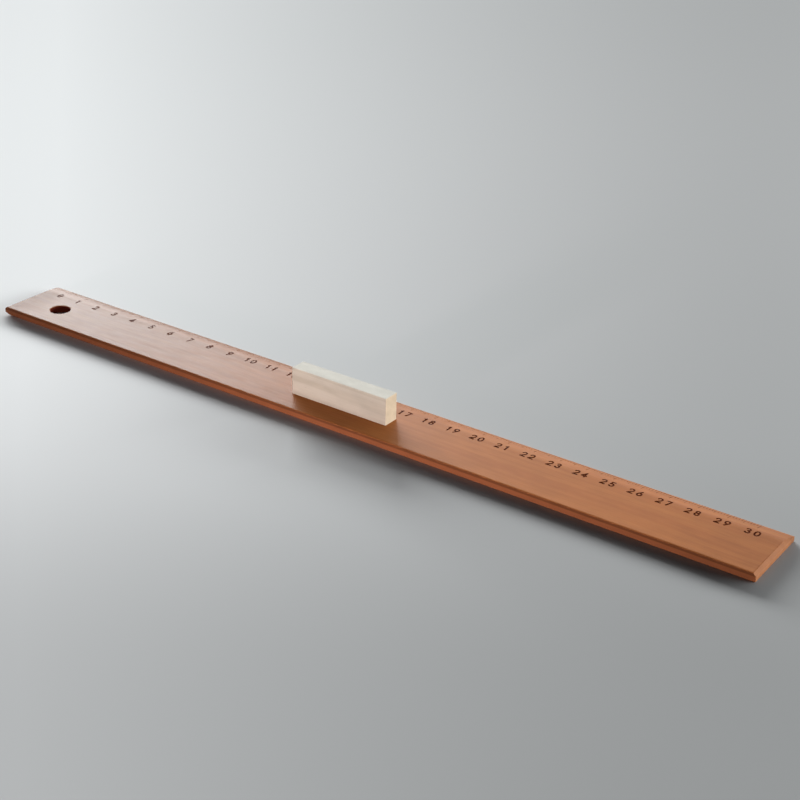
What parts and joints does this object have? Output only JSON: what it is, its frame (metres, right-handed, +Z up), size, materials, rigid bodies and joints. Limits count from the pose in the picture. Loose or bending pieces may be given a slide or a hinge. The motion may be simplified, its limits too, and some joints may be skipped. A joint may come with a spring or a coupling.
{
  "type": "wooden ruler",
  "caption": "Flat wooden ruler with a rolled measuring edge, its zero end cut back underneath, a hanging hole near that end and a small square-edged grip standing on its middle.",
  "frame": {"origin": "centre of the underside, on the surface the ruler lies on", "axes": "+X along the scale from zero towards its far end, +Y across the blade from the plain edge to the rolled measuring edge, +Z up through the grip"},
  "size_m": [0.32, 0.029, 0.0132],
  "materials": {
    "blade_wood": "red-brown hardwood under a satin clear lacquer, grain along the blade",
    "grip_wood": "pale close-grained hardwood, sanded and oiled, matt",
    "dowel_wood": "plain beech, unfinished"
  },
  "bodies": {
    "root": {"blade": "blade_wood", "grip": "grip_wood", "dowel_left": "dowel_wood", "dowel_right": "dowel_wood"}
  },
  "joints": []
}
